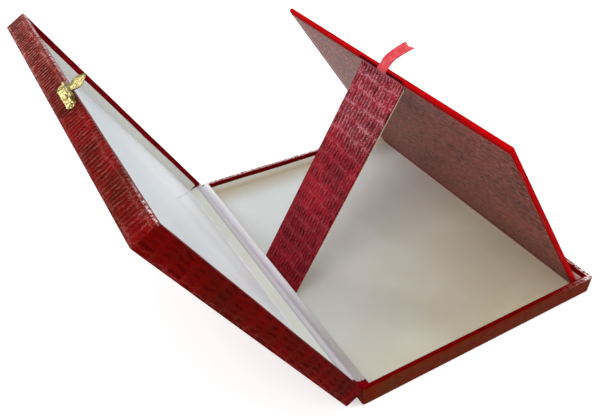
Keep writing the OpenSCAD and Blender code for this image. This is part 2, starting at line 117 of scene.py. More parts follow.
class Mat:
    """Short hand for building a node material."""

    def __init__(self, name, **sockets):
        self.m = bpy.data.materials.new(name)
        self.m.use_nodes = True
        self.t = self.m.node_tree
        self.p = self.t.nodes["Principled BSDF"]
        for k, v in sockets.items():
            self.p.inputs[k.replace("_", " ")].default_value = v

    def node(self, kind, **props):
        n = self.t.nodes.new(kind)
        for k, v in props.items():
            setattr(n, k, v)
        return n

    def put(self, value, socket):
        if isinstance(value, bpy.types.NodeSocket):
            self.t.links.new(value, socket)
        else:
            socket.default_value = value

    def math(self, op, *args):
        n = self.node("ShaderNodeMath", operation=op)
        for i, a in enumerate(args):
            self.put(a, n.inputs[i])
        return n.outputs[0]

    def chain(self, op, total, *rest):
        for v in rest:
            total = self.math(op, total, v)
        return total

    def add(self, *values):
        return self.chain("ADD", *values)

    def mul(self, *values):
        return self.chain("MULTIPLY", *values)

    def sub(self, a, b):
        return self.math("SUBTRACT", a, b)

    def away(self, v, middle):
        """Distance of v from middle."""
        return self.math("ABSOLUTE", self.sub(v, middle))

    def sway(self, noise, k):
        """A noise of 0 to 1 that swings about 0 instead, over a range of k."""
        return self.mul(self.sub(noise, 0.5), k)

    def ramp(self, x, lo, hi, a=0.0, b=1.0):
        n = self.node("ShaderNodeMapRange", interpolation_type="SMOOTHSTEP")
        for i, v in enumerate((x, lo, hi, a, b)):
            self.put(v, n.inputs[i])
        return n.outputs[0]

    def mix(self, f, a, b):
        n = self.node("ShaderNodeMix", data_type="RGBA")
        self.put(f, n.inputs[0])
        self.put(a, n.inputs[6])
        self.put(b, n.inputs[7])
        return n.outputs[2]

    def coord(self):
        return self.node("ShaderNodeTexCoord").outputs["Object"]

    def uv(self, name="grain"):
        return self.node("ShaderNodeUVMap", uv_map=name).outputs[0]

    def scaled(self, v, sx, sy, sz, off=(0, 0, 0)):
        n = self.node("ShaderNodeMapping")
        self.put(v, n.inputs[0])
        n.inputs["Scale"].default_value = (sx, sy, sz)
        n.inputs["Location"].default_value = off
        return n.outputs[0]

    def in_mm(self, v, off=(0, 0, 0)):
        return self.scaled(v, 1000, 1000, 1000, off)

    def noise(self, v, scale, detail, rough, color=False):
        n = self.node("ShaderNodeTexNoise")
        self.put(v, n.inputs["Vector"])
        n.inputs["Scale"].default_value = scale
        n.inputs["Detail"].default_value = detail
        n.inputs["Roughness"].default_value = rough
        return n.outputs["Color" if color else "Fac"]

    def white(self, dims, socket, v):
        n = self.node("ShaderNodeTexWhiteNoise", noise_dimensions=dims)
        self.put(v, n.inputs[socket])
        return n.outputs

    def xyz(self, v):
        n = self.node("ShaderNodeSeparateXYZ")
        self.put(v, n.inputs[0])
        return n.outputs

    def vec(self, x, y):
        n = self.node("ShaderNodeCombineXYZ")
        self.put(x, n.inputs[0])
        self.put(y, n.inputs[1])
        return n.outputs[0]

    def bump(self, height, distance_mm):
        n = self.node("ShaderNodeBump")
        n.inputs["Distance"].default_value = distance_mm * MM
        self.put(height, n.inputs["Height"])
        self.put(n.outputs[0], self.p.inputs["Normal"])

    def color(self, c):
        self.put(c, self.p.inputs["Base Color"])

    def rough(self, r):
        self.put(r, self.p.inputs["Roughness"])


CELL_LONG, CELL_WIDE, CELL_SHIFT = 11.6, 3.5, 7.3    # embossed cells; shift from row to row
RIM_UP, FACE_UP = 17.4, 13.6                         # place of the rim's outer edge, of the wall
# painted highlight: colour of the glints along the rims
RIM_GLINT = S(244, 214, 216)


def leather(name, base, dark, ridge_highlight, brown, spec, deep, ridge_highlight_mix, groove_mix, highlight_mix, highlight_runs,
            rim=None, near_side_shade=0.0, seed=0.0, dash=(0.2, 0.2)):
    """Leatherette embossed with rows of long cells, with painted highlights. UVs are millimetres
    on
    the sheet: x along the grain, y across it. The ridge colour is a painted highlight: its mix,
    groove_mix and the sheen mix say how much the painted highlight on the ridges, the grooves
    and the painted sheen between them show. Each highlight-run entry (ax, ay, lo, hi, a, b)
    scales the painted highlight from a to b as ax * x + ay * y goes from lo to hi. rim is the
    colour where the sheet turns over a tray's wall: there the UV layer "place" gives the way up
    the wall and the strength of the painted glints along the rim. The near-side factor paints
    shade on the side of the case at x = -142. dash is a groove's least half length and how
    much longer it can be, in cells."""
    m = Mat(name, Specular_IOR_Level=spec)
    uv = m.uv()
    x, y, _ = m.xyz(uv)
    slow = m.xyz(m.noise(m.scaled(uv, 0.05, 0.05, 1, (seed, 3 * seed, 0)), 1.0, 2, 0.5, True))
    fine = m.xyz(m.noise(m.scaled(uv, 0.36, 0.36, 1, (2 * seed, seed, 5)), 1.0, 2, 0.6, True))
    along = m.add(x, m.sway(slow[0], 6.0), m.sway(fine[0], 5.5))
    across = m.add(y, m.sway(slow[1], 5.0), m.sway(fine[1], 3.2))
    row = m.math("FLOOR", m.math("DIVIDE", along, CELL_LONG))
    in_row = m.math("FRACT", m.math("DIVIDE", along, CELL_LONG))
    shift = m.mul(m.white("1D", "W", row)["Value"], CELL_SHIFT)
    column = m.math("DIVIDE", m.add(across, shift), CELL_WIDE)
    off_line = m.away(m.math("FRACT", column), 0.5)
    r1, r2, r3 = m.xyz(m.white("2D", "Vector", m.vec(m.math("FLOOR", column), row))["Color"])

    # each groove is a dash with its own place, length and depth
    off_mid = m.away(in_row, m.add(0.38, m.mul(r1, 0.24)))
    half = m.add(dash[0], m.mul(r2, dash[1]))
    within = m.ramp(m.sub(off_mid, half), -0.08, 0.06, 1.0, 0.0)
    groove = m.mul(m.ramp(off_line, 0.08, 0.3, 1.0, 0.0), within, m.add(0.3, m.mul(r3, 0.7)))
    row_end = m.ramp(m.math("MINIMUM", in_row, m.sub(1.0, in_row)), 0.0, 0.12, 1.0, 0.0)
    seam = m.ramp(m.sub(0.5, off_line), 0.0, 0.2, 1.0, 0.0)
    net = m.math("MAXIMUM", m.mul(row_end, 0.75), m.mul(seam, 0.95))

    micro = m.noise(m.scaled(uv, 1.3, 1.3, 1), 1.0, 3, 0.65)
    patch = m.ramp(m.noise(m.scaled(uv, 0.16, 0.2, 1, (3, seed, 2)), 1.0, 4, 0.7), 0.38, 0.62)
    # painted highlight: patchy polish, scaled by each highlight run, then broken up into glints
    highlight = m.add(0.15, m.mul(patch, 0.85))
    for ax, ay, lo, hi, s0, s1 in highlight_runs:
        run = m.add(m.mul(along, ax), m.mul(across, ay))
        highlight = m.mul(highlight, m.ramp(run, lo, hi, s0, s1))
    highlight = m.math("MINIMUM", highlight, 1.3)
    ridge_glint = m.mul(m.ramp(micro, 0.36, 0.54), highlight)
    height = m.add(m.sub(m.mul(net, 0.6), groove), m.mul(micro, 0.7), m.mul(patch, 0.25))

    tone = m.noise(m.scaled(uv, 0.03, 0.03, 1, (7, seed, 0)), 1.0, 3, 0.6)
    c = m.mix(m.ramp(tone, 0.35, 0.65), base, brown)
    if rim:
        up, glint_strength, _ = m.xyz(m.uv("place"))
        turned = m.ramp(up, RIM_UP - 1.2, RIM_UP)
        c = m.mix(turned, c, rim)
        flat = m.sub(1.0, m.mul(turned, 0.95))
        net, highlight = m.mul(net, flat), m.mul(highlight, flat)
    c = m.mix(m.mul(m.ramp(micro, 0.35, 0.7, 1.0, 0.0), 0.45), c, dark)
    # painted highlight: light ridges of the net where the glints fall
    c = m.mix(m.mul(net, ridge_highlight_mix, ridge_glint), c, ridge_highlight)
    c = m.mix(m.mul(groove, groove_mix), c, dark)
    # painted shade on the side of the case at x = -142
    if near_side_shade:
        c = m.mix(m.ramp(y, -150, -138, near_side_shade, 0.0), c, dark)
    # painted highlight: a pinkish sheen between the ridges
    c = m.mix(m.mul(highlight, m.ramp(micro, 0.46, 0.64), highlight_mix), c, ridge_highlight)
    if rim:
        # painted highlight: glints along the rim, and down the outer face where their strength is
        # over 1
        edge = m.mul(m.ramp(m.away(up, RIM_UP), 1.2, 2.4, 1.0, 0.0), m.math("MINIMUM", glint_strength, 1.0))
        face = m.mul(m.ramp(m.away(up, FACE_UP), 2.0, 4.2, 1.0, 0.0), m.ramp(glint_strength, 1.1, 2.0))
        glint_streak = m.ramp(m.noise(m.scaled(uv, 0.4, 0.4, 1, (9, 4, 1)), 1.0, 4, 0.75), 0.45, 0.54)
        c = m.mix(m.mul(m.math("MAXIMUM", edge, face), glint_streak), c, RIM_GLINT)
    m.color(c)
    m.rough(m.add(0.3, m.sway(micro, 0.25)))
    m.bump(height, 0.3 * deep)
    return m.m


def cloth(name, base, shade, rough=0.55, weave=0.32, amp=0.05, sheen=0.3, cloud=0.25, fades=(),
          crease_shades=()):
    """Satin or lining: a fine weave, soft cloudy tone and a slight sheen. Each fade (ax, ay, lo,
    hi, tint, most, stray) brings in its tint, up to most, as ax * u + ay * v goes from lo to hi
    millimetres, moved by the clouds by up to stray; the fades are used for painted light and
    shade. Each crease shade (x0, y0, x1, y1, half, tint, most) is a soft line of painted shade,
    half wide to each side."""
    m = Mat(name, Specular_IOR_Level=0.35, Sheen_Weight=sheen, Sheen_Roughness=0.5)
    v = m.coord()
    x, y, z = m.xyz(m.in_mm(v))
    k = 2 * math.pi / weave
    threads = m.mul(m.math("SINE", m.mul(x, k)),
                    m.math("SINE", m.mul(m.add(y, m.mul(z, 0.73)), k)))
    puff = m.noise(m.scaled(v, 900, 900, 900), 0.1, 3, 0.55)
    clouds = m.noise(m.scaled(v, 22, 22, 22), 1.0, 2, 0.5)
    c = m.mix(m.ramp(clouds, 0.35, 0.68, 0.0, cloud * 2), base, shade)
    if fades or crease_shades:
        pu, pv, _ = m.xyz(m.uv())
    for ax, ay, lo, hi, tint, most, stray in fades:
        run = m.add(m.mul(pu, ax), m.mul(pv, ay), m.sway(clouds, stray))
        c = m.mix(m.ramp(run, lo, hi, 0.0, most), c, tint)
    for x0, y0, x1, y1, half, tint, most in crease_shades:
        size = math.dist((x0, y0), (x1, y1))
        dx, dy = (x1 - x0) / size, (y1 - y0) / size
        px, py = m.sub(pu, x0), m.sub(pv, y0)
        along = m.add(m.mul(px, dx), m.mul(py, dy))
        off = m.math("ABSOLUTE", m.add(m.sub(m.mul(px, dy), m.mul(py, dx)), m.sway(clouds, 2)))
        on = m.mul(m.ramp(along, 0, 0.2 * size), m.ramp(along, 0.8 * size, size, 1.0, 0.0))
        c = m.mix(m.mul(on, m.ramp(off, 0.2 * half, half, most, 0.0)), c, tint)
    m.color(m.mix(m.mul(m.ramp(puff, 0.3, 0.8), 0.12), c, shade))
    m.rough(m.add(rough, m.sway(puff, 0.2)))
    m.bump(m.add(m.mul(threads, 0.5), m.mul(puff, 1.5)), amp)
    return m.m


def velvet(name, base, shade, deep):
    """Cut pile, with painted shade. UV y is the height above the panel's back: the pile turned
    over there is darker, and darker still and further up beside the strut's flap."""
    m = Mat(name, Specular_IOR_Level=0.05, Sheen_Weight=0.12, Sheen_Roughness=0.4,
            Sheen_Tint=S(235, 40, 40), Roughness=0.95)
    v = m.coord()
    pile = m.noise(m.in_mm(v), 4.0, 2, 0.6)
    brushed = m.noise(m.scaled(v, 60, 60, 60), 1.0, 3, 0.6)
    c = m.mix(m.ramp(brushed, 0.4, 0.66, 0.0, 0.5), base, shade)
    c = m.mix(m.mul(m.ramp(pile, 0.45, 0.8), 0.25), c, shade)
    # painted shade: darker where the pile turns over to the back, deeper and further up beside the
    # strut's flap
    x, n, _ = m.xyz(m.uv())
    flap_shade = m.ramp(m.away(x, STRUT_X), 26.0, 29.0, 0.8, 0.0)
    n = m.sub(m.add(n, m.mul(brushed, 0.5)), flap_shade)
    c = m.mix(m.ramp(n, 0.2, 1.5, 1.0, 0.0), c, m.mix(m.mul(flap_shade, 1.25), shade, deep))
    m.color(c)
    m.bump(pile, 0.12)
    return m.m


def back_paper(name, base, dark, light):
    """Brown leather-grained paper: fine wavy lines that run along the panel, a darker turned-in
    foot with a line of painted shade above it, along the foot strip's top edge, and crimson along
    the foot and the far edge."""
    m = Mat(name, Specular_IOR_Level=0.06)
    uv = m.uv()
    wob = m.xyz(m.noise(m.scaled(uv, 0.07, 0.11, 1), 1.0, 3, 0.55, True))
    x, y, _ = m.xyz(uv)
    wavy = m.vec(m.add(x, m.mul(wob[1], 5.0)), m.add(y, m.mul(wob[0], 9.0)))
    lines = m.noise(m.scaled(wavy, 0.03, 0.36, 1), 1.0, 3, 0.75)
    pores = m.noise(m.scaled(wavy, 0.2, 0.7, 1), 1.0, 2, 0.6)
    tone = m.noise(m.scaled(uv, 0.012, 0.02, 1), 1.0, 2, 0.5)
    c = m.mix(m.ramp(tone, 0.35, 0.65, 0.0, 0.35), base, dark)
    c = m.mix(m.ramp(lines, 0.41, 0.52, 1.0, 0.0), c, dark)
    c = m.mix(m.ramp(pores, 0.48, 0.6, 0.0, 0.55), c, light)
    c = m.mix(m.ramp(y, 7.5, 9.0, 0.3, 0.0), c, dark)
    # painted shade: a line along the top edge of the foot strip
    c = m.mix(m.ramp(m.away(y, 9.4), 0.3, 1.0, 0.85, 0.0), c, dark)
    c = m.mix(m.ramp(y, 2.6, 3.8, 1.0, 0.0), c, S(206, 66, 92))
    c = m.mix(m.ramp(x, 132.6, 133.4), c, S(176, 20, 44))
    m.color(c)
    m.rough(m.add(0.42, m.sway(lines, 0.3)))
    m.bump(m.add(m.mul(lines, 1.6), m.mul(pores, 0.6)), 0.3)
    return m.m


def satin_ribbon(name, base, light, dark):
    """Satin ribbon: ribbed, with patches of painted highlight, darker at its selvedges and at its
    cut end.
    """
    m = Mat(name, Specular_IOR_Level=0.25, Sheen_Weight=0.15, Roughness=0.42)
    uv = m.uv()
    x, y, _ = m.xyz(uv)
    rib = m.math("SINE", m.mul(x, 2 * math.pi / 0.45))
    thread = m.noise(m.scaled(uv, 0.6, 7.0, 1), 1.0, 2, 0.6)
    tone = m.noise(m.scaled(uv, 0.16, 0.16, 1), 1.0, 2, 0.5)
    # painted highlight in patches
    c = m.mix(m.ramp(tone, 0.42, 0.62), base, light)
    c = m.mix(m.ramp(thread, 0.45, 0.8, 0.0, 0.5), c, dark)
    side = m.ramp(m.add(m.math("ABSOLUTE", x), m.mul(thread, 0.8)), 4.7, 5.9)
    tip = m.ramp(y, 42.0, 45.5)
    m.color(m.mix(m.mul(m.math("MAXIMUM", side, tip), 0.85), c, dark))
    m.bump(m.add(m.mul(rib, 0.4), thread), 0.06)
    return m.m


def brass(name, base, dark, green_reflection, brown_reflection):
    """Stamped brass: uneven polish, with dark, green and brown patches of painted reflection."""
    m = Mat(name, Metallic=1.0)
    v = m.coord()
    polish_and_reflection = m.noise(m.in_mm(v), 0.42, 3, 0.6)
    reflection_patches = m.noise(m.in_mm(v, (30, 10, 4)), 0.3, 2, 0.5)
    fine = m.noise(m.in_mm(v), 5.0, 2, 0.6)
    # painted reflection: dark, green and brown patches in the colour
    c = m.mix(m.ramp(polish_and_reflection, 0.43, 0.68, 0.0, 0.85), base, dark)
    c = m.mix(m.ramp(reflection_patches, 0.54, 0.72, 0.0, 0.5), c, green_reflection)
    m.color(m.mix(m.ramp(reflection_patches, 0.3, 0.44, 0.5, 0.0), c, brown_reflection))
    m.rough(m.add(0.34, m.mul(polish_and_reflection, 0.2)))
    m.bump(m.add(m.mul(polish_and_reflection, 1.2), m.mul(fine, 0.4)), 0.05)
    return m.m


def grain(name, base, dark, stretch=(1, 1, 1), amp=0.05):
    """Wood, board or plain paper."""
    m = Mat(name, Specular_IOR_Level=0.25)
    v = m.coord()
    long = m.noise(m.scaled(v, *(1000 * s for s in stretch)), 1.0, 3, 0.6)
    fine = m.noise(m.in_mm(v), 2.5, 2, 0.6)
    c = m.mix(m.ramp(long, 0.35, 0.68), base, dark)
    m.color(m.mix(m.mul(fine, 0.15), c, dark))
    m.rough(m.add(0.75, m.sway(fine, 0.2)))
    m.bump(m.add(long, m.mul(fine, 0.5)), amp)
    return m.m


# ------------------------------------------------------------------ materials
# painted highlight along the case's length: dull on the side at x = -142, bright from x = 80 to
# the far edge, and dull again on the far side
CASE_HIGHLIGHT = ((0, 1, -150, -138, 0.02, 0.4), (0, 1, -20, 80, 0.7, 2.8),
              (0, 1, 139, 150, 1, 0.3))
M = {
    # the lid's leatherette has painted shade on its side at x = -142
    "case_lid": leather("case_leatherette_lid", S(138, 8, 8), S(56, 4, 4), S(214, 150, 142),
                        S(104, 22, 10), spec=0.003, deep=1.8, ridge_highlight_mix=0.85, groove_mix=0.75,
                        highlight_mix=0.1, highlight_runs=CASE_HIGHLIGHT, rim=S(146, 0, 20), near_side_shade=0.28),
    "case": leather("case_leatherette", S(118, 36, 14), S(70, 10, 4), S(190, 120, 104),
                    S(106, 50, 22), spec=0.003, deep=1.2, ridge_highlight_mix=0.35, groove_mix=0.4,
                    highlight_mix=0.08, highlight_runs=CASE_HIGHLIGHT, rim=S(118, 0, 4)),
    # painted highlight: strong on the strut's upper part, faint further down
    "strut": leather("strut_leatherette", S(172, 26, 40), S(50, 5, 16), S(216, 146, 158),
                     S(134, 20, 30), spec=0.01, deep=2.4, ridge_highlight_mix=0.9, groove_mix=0.9,
                     highlight_mix=0.45, highlight_runs=((1, 0, 48, 76, 1.2, 0.25), (1, 0, 96, 150, 1, 0.8)),
                     seed=4.0, dash=(0.14, 0.14)),
    # the last colour is painted shade where the pile turns over beside the strut's flap
    "velvet": velvet("velvet", S(184, 0, 4), S(150, 0, 6), S(66, 0, 6)),
    "back": back_paper("back_paper", S(136, 64, 54), S(62, 24, 22), S(172, 118, 108)),
    "tape": cloth("hinge_satin", S(226, 226, 238), S(218, 216, 228), rough=0.4, sheen=0.15,
                  amp=0.04, cloud=0.15,
                  fades=((0, -1, -7.5, -1.5, S(252, 253, 255), 1, 0),     # painted highlight: lighter down into the base
                         (-1, 0, -10, 120, S(172, 166, 164), 1, 20),      # painted shade towards the near end
                         (0, 1, 7.6, 12.0, S(208, 203, 209), 1, 0),       # painted shade on the fold and the lid
                         (0, 1, 17.0, 17.6, S(186, 184, 180), 1, 0))),    # painted shadow from its edge on the lid onwards
    "base_lining": cloth("base_lining", S(228, 235, 235), S(219, 224, 223), rough=0.6,
                         weave=0.45, amp=0.02, sheen=0.1, cloud=0.2,
                         fades=((-0.75, -0.66, -90, 130, S(199, 190, 163), 1, 50),    # painted shade with warm reflected light towards the near front
                                (1, 0.06, 116, 139, S(222, 211, 180), 0.75, 10))),    # painted shade on the floor towards the far wall
    # painted shade towards the foot of the walls
    "wall_lining": cloth("base_wall_lining", S(244, 242, 232), S(234, 232, 220), rough=0.6,
                         amp=0.02, sheen=0.1, cloud=0.2,
                         fades=((0, -1, -10, -3.4, S(218, 207, 178), 0.8, 0),)),
    # painted light: the satin lighter towards the hinge; the creases are painted shade, one sharp
    # line and two broad soft bands
    "lid_satin": cloth("lid_satin", S(206, 215, 219), S(190, 202, 212), rough=0.42, sheen=0.2,
                       amp=0.03, cloud=0.3,
                       fades=((0, 1, -60, 60, S(242, 250, 254), 0.9, 70),
                              (0, 1, 80, 104, S(230, 239, 247), 0.9, 10)),
                       crease_shades=((14, 6, 118, 93, 0.9, S(176, 186, 194), 0.6),    # one sharp crease line, painted shade
                                (60, 90, 128, 62, 22, S(214, 224, 236), 0.4),
                                (-90, 84, 40, 10, 30, S(212, 221, 232), 0.4))),
    "satin_edge": cloth("satin_edge", S(255, 255, 255), S(246, 249, 252), rough=0.4, sheen=0.2,
                        amp=0.02, cloud=0.1),
    "lid_lining": cloth("lid_lining", S(232, 233, 227), S(222, 222, 213), sheen=0.15, amp=0.02,
                        cloud=0.2),
    # the ribbon's light colour is painted highlight in patches
    "ribbon": satin_ribbon("ribbon_satin", S(206, 32, 48), S(218, 72, 82), S(140, 18, 44)),
    "cloth": cloth("hinge_cloth", S(190, 186, 176), S(160, 156, 146), weave=0.6, amp=0.08),
    "strut_paper": grain("strut_paper", S(250, 238, 214), S(226, 206, 172), amp=0.03),
    "wood": grain("strip_wood", S(206, 176, 130), S(170, 136, 92), stretch=(0.02, 0.4, 0.4)),
    "board": grain("board", S(178, 172, 162), S(140, 134, 124), amp=0.08),
    # the last three brass colours are painted reflection: dark, green and brown
    "brass": brass("brass", S(150, 138, 78), S(80, 70, 32), S(82, 92, 36), S(128, 88, 36)),
}


# ------------------------------------------------------------------ mesh tools
def make(name, verts, faces, mat, T=WORLD, uv=None, body=None, stand_for=(), sharp=None,
         place=None):
    """A mesh from points in millimetres of frame T. uv and place are lists of pairs per face."""
    me = bpy.data.meshes.new(name)
    me.from_pydata([tuple(at(T, *v)) for v in verts], [], faces)
    for layer_name, values in (("grain", uv), ("place", place)):
        if values is not None:
            layer = me.uv_layers.new(name=layer_name)
            for poly, pairs in zip(me.polygons, values):
                for li, pair in zip(poly.loop_indices, pairs):
                    layer.data[li].uv = pair
    if T.to_3x3().determinant() < 0:
        me.flip_normals()
    me.materials.append(M[mat])
    for p in me.polygons:
        p.use_smooth = True
    me.validate()
    ob = bpy.data.objects.new(name, me)
    bpy.context.scene.collection.objects.link(ob)
    if sharp is not None:
        me.set_sharp_from_angle(angle=math.radians(sharp))
    if body:
        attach(ob, body)
    if stand_for:
        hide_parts(*stand_for)
    return ob


def quads(rows, closed=False, flip=False):
    """Faces between rows of vertex numbers. closed joins each row's end to its start."""
    faces = []
    for p, q in zip(rows, rows[1:]):
        for i in range(len(p) if closed else len(p) - 1):
            k = (i + 1) % len(p)
            faces.append([p[k], p[i], q[i], q[k]] if flip else [p[i], p[k], q[k], q[i]])
    return faces


def number(count, n, start=0):
    """Vertex numbers of count rows of n points."""
    return [list(range(start + j * n, start + j * n + n)) for j in range(count)]


def per_face(values, faces):
    return [[values[v] for v in f] for f in faces]


def loft(name, rows, mat, T=WORLD, body=None, stand_for=(), closed=False, flip=False, cap=False,
         sharp=None, place=None):
    """A mesh from rows of (point, uv). cap closes the last row, and place is the same pair all
    over."""
    index = number(len(rows), len(rows[0]))
    faces = quads(index, closed, flip)
    if cap:
        faces.append(index[-1])
    points, uvs = zip(*(pair for row in rows for pair in row))
    return make(name, points, faces, mat, T, per_face(uvs, faces), body, stand_for, sharp,
                place and [[place] * len(f) for f in faces])


def thicken(ob, thick, offset=0):
    mod = ob.modifiers.new("thickness", "SOLIDIFY")
    mod.thickness, mod.offset = thick * MM, offset


def running(points):
    """Distance along a line of points, from 0 at the first."""
    out = [0.0]
    for p, q in zip(points, points[1:]):
        out.append(out[-1] + ((q - p).length if isinstance(p, Vector) else math.dist(p, q)))
    return out


def arc_pts(c, r, a0, a1, n):
    """n + 1 points of an arc, angles in degrees."""
    angles = [math.radians(a0 + (a1 - a0) * i / n) for i in range(n + 1)]
    return [(c[0] + r * math.cos(a), c[1] + r * math.sin(a)) for a in angles]


def ring(hx, y0, y1, r, back_x=None):
    """Rounded rectangle, anticlockwise from the front edge, always with the same count.
    back_x gives the points along the back edge."""
    pts = []
    fx = np.linspace(-1, 1, 27)[1:-1]
    fy = np.linspace(-1, 1, 23)[1:-1]
    bx = fx[::-1] * (hx - r) if back_x is None else np.clip(back_x, -(hx - r), hx - r)
    cy, hy = (y0 + y1) / 2, (y1 - y0) / 2
    pts += [(x * (hx - r), y0) for x in fx]
    pts += arc_pts((hx - r, y0 + r), r, -90, 0, 7)
    pts += [(hx, cy + y * (hy - r)) for y in fy]
    pts += arc_pts((hx - r, y1 - r), r, 0, 90, 7)
    pts += [(x, y1) for x in bx]
    pts += arc_pts((-hx + r, y1 - r), r, 90, 180, 7)
    pts += [(-hx, cy - y * (hy - r)) for y in fy]
    pts += arc_pts((-hx + r, y0 + r), r, 180, 270, 7)
    return pts


def grid_rim(grid):
    """The outer vertex numbers of a grid, in order round it."""
    return (grid[0] + [row[-1] for row in grid[1:]] + grid[-1][-2::-1]
            + [row[0] for row in grid[-2:0:-1]])


# ------------------------------------------------------------------ trays
INSET = 30                     # of the first loop, on the tray's bottom
WALL_FOOT = 29.4               # sheet length from there to the foot of a wall
TURNED_IN = (22, 0)            # place of leatherette that has been turned over a rim
RIM_W, BACK_WIDER = 3.8, 2.0   # flat part of the rim, and how much wider it is at the hinge
TAPE_LIE = 108.95, 15.42       # inner edge and top of the hinge wall's leatherette under the tape


def tray_skin(name, T, body, mat, stand_for, tape_end, glint_strength):
    """Leatherette of a tray: bottom, walls, the rim and the turn-in down the inner faces,
    mitred at the corners. Up to x = tape_end the hinge wall's rim lies under the satin tape."""
    prof = [(INSET, 0.0), (6, 0.0), (1.6, 0.0)]      # (inwards from the outer face, up)
    bottom = len(prof)
    prof += arc_pts((0.9, 0.9), 0.9, 270, 180, 5)
    walls = len(prof) - 1
    prof += [(0, 3), (0, 6), (0, 9), (0, 12), (0, 14.4)]
    prof += arc_pts((1.0, 15.05), 1.0, 180, 90, 6)
    prof += [(2.4, 16.08), (3.6, 16.03)]
    prof += arc_pts((4.1, 15.3), 0.74, 90, 0, 6)[1:]
    first_in = len(prof)
    prof += [(4.87, 14.2), (4.89, 13.2), (4.88, 12.3), (4.84, 11.95), (4.7, 11.86)]
    lens = running(prof)
    back_x = np.array([137.35, 137.15, *np.linspace(128, -128, 21), -137.15, -137.35])
    verts = []
    for i, (d, z) in enumerate(prof):
        d_back = d if d <= 1.0 or i < bottom else d + (d - 1.0) / RIM_W * BACK_WIDER
        for x, y in ring(HALF_W - d, -HALF_D + d, HALF_D - d_back, max(2 - d, 0.2), back_x):
            up = z
            if i >= walls:
                if y > 108.0 and -IN_X < x < tape_end:
                    y, up = max(y, TAPE_LIE[0]), min(z, TAPE_LIE[1])
                    if i >= first_in:
                        y, up = 108.9 - 0.02 * (i - first_in), 15.2
                # mitre crease where the turned-over edges meet
                cx, cy = HALF_W - abs(x), HALF_D - abs(y)
                if z > 15.7 and abs(cx - cy) < 0.5 and cx < 4.6:
                    up = z - 0.2
                # hand-wrapped edge
                wave = math.sin(x * 0.11 + y * 0.07) + 0.6 * math.sin(x * 0.31 - y * 0.23)
                up += 0.05 * wave * (z > 15) + 0.2 * wave * (z < 12.4 and i >= first_in
                                                             and up < 13)
            verts.append((x, y, up))
    n = len(verts) // len(prof)
    loops = number(len(prof), n)
    faces = [loops[0][::-1]] + quads(loops, closed=True)
    uvs = [[(verts[v][1], verts[v][0]) for v in faces[0]]]
    places = [[(0, 0)] * n]
    for f, quad in enumerate(faces[1:]):
        i = f // n
        ends = list(zip(quad, (lens[i], lens[i], lens[i + 1], lens[i + 1])))
        mx, my = ((verts[quad[0]][k] + verts[quad[1]][k]) / 2 for k in (0, 1))
        if i < bottom:
            uvs.append([(verts[v][1], verts[v][0]) for v in quad])
        elif HALF_W - abs(mx) < HALF_D - abs(my):
            uvs.append([(verts[v][1], math.copysign(HALF_W - INSET + s, mx)) for v, s in ends])
        else:
            uvs.append([(math.copysign(HALF_D - INSET + s, my), verts[v][0]) for v, s in ends])
        # the second place value is the strength of the painted rim glints
        places.append([(s - WALL_FOOT, glint_strength(*verts[v][:2])) for v, s in ends])
    make(name, verts, faces, mat, T, uvs, body, stand_for, sharp=50, place=places)


def tray_lining(name, T, body, mat, stand_for, floor_z, back_top):
    """Lining on the four inner wall faces, below the leatherette and coved at the floor. It
    starts at back_top on the hinge wall."""
    prof = [(-0.3, LINING_TOP), (-0.05, 12.0), (0.0, 11.8), (0.0, 9.5), (0.0, 7),
            (0.0, floor_z + 1.0)]
    prof += arc_pts((0.55, floor_z + 0.5), 0.55, 180, 270, 4)
    back_drop = (0, 0.05, 0.2, 1.4)
    rows = []
    for i, (d, z) in enumerate(prof):
        rows.append([])
        for x, y in ring(IN_X - d, IN_FRONT + d, IN_BACK - d, 0.35):
            at_back = y > IN_BACK - 0.1 - d and i < len(back_drop)
            up = back_top - back_drop[i] if at_back else z
            rows[-1].append(((x, y, up), (x + y, up)))
    loft(name, rows, mat, T, body, stand_for, closed=True, sharp=60)


def pad(name, T, body, mat, stand_for, top):
    """Closed pad between the walls: top(x, y) is its upper face."""
    def spread(lo, hi, n):
        """n + 1 places from lo to hi, closer together towards both ends."""
        t = np.linspace(0, math.pi, n + 1)
        even = np.linspace(0, 1, n + 1)
        return lo + (hi - lo) * (0.45 * (1 - np.cos(t)) / 2 + 0.55 * even)
    xs = spread(-IN_X + PAD_GAP, IN_X - PAD_GAP, 72)
    ys = spread(IN_FRONT + PAD_GAP, IN_BACK - PAD_GAP, 60)
    upper = [[(x, y, top(x, y)) for x in xs] for y in ys]
    verts = sum(upper, [])
    n = len(verts)
    verts += [(x, y, PAD_UNDER) for x, y, _ in verts]
    grid = number(len(ys), len(xs))
    rim = grid_rim(grid)
    faces = quads(grid) + quads(number(len(ys), len(xs), n), flip=True)
    faces += [[b, a, n + a, n + b] for a, b in zip(rim, rim[1:] + rim[:1])]
    return make(name, verts, faces, mat, T, per_face([v[:2] for v in verts], faces), body,
                stand_for, sharp=60)


def near_point(x, y, px, py, size):
    return math.exp(-math.dist((x, y), (px, py)) / size)


# painted highlight: how strongly glints show on the base's far rim, front rim and near front
# corner
def base_rim_glints(x, y):
    return 1.0 * (x > 130) + 0.4 * (y < -110) + 1.3 * near_point(x, y, -139, -114, 8)


# painted highlight: how strongly glints show on the lid's front rim and near front corner
def lid_rim_glints(x, y):
    return 0.6 * (y < -105 and x > 10) + 1.7 * near_point(x, y, -133, -115, 13) * (y < -113)


def floor_top(x, y):
    """Nearly flat, and slightly lower along the walls."""
    edge = max(0.0, min(IN_X - abs(x), y - IN_FRONT, IN_BACK - y) - PAD_GAP)
    return (3.02 - 0.25 * math.exp(-edge / 1.2)
            + 0.05 * math.sin(x * 0.045 + 1.0) * math.sin(y * 0.06))


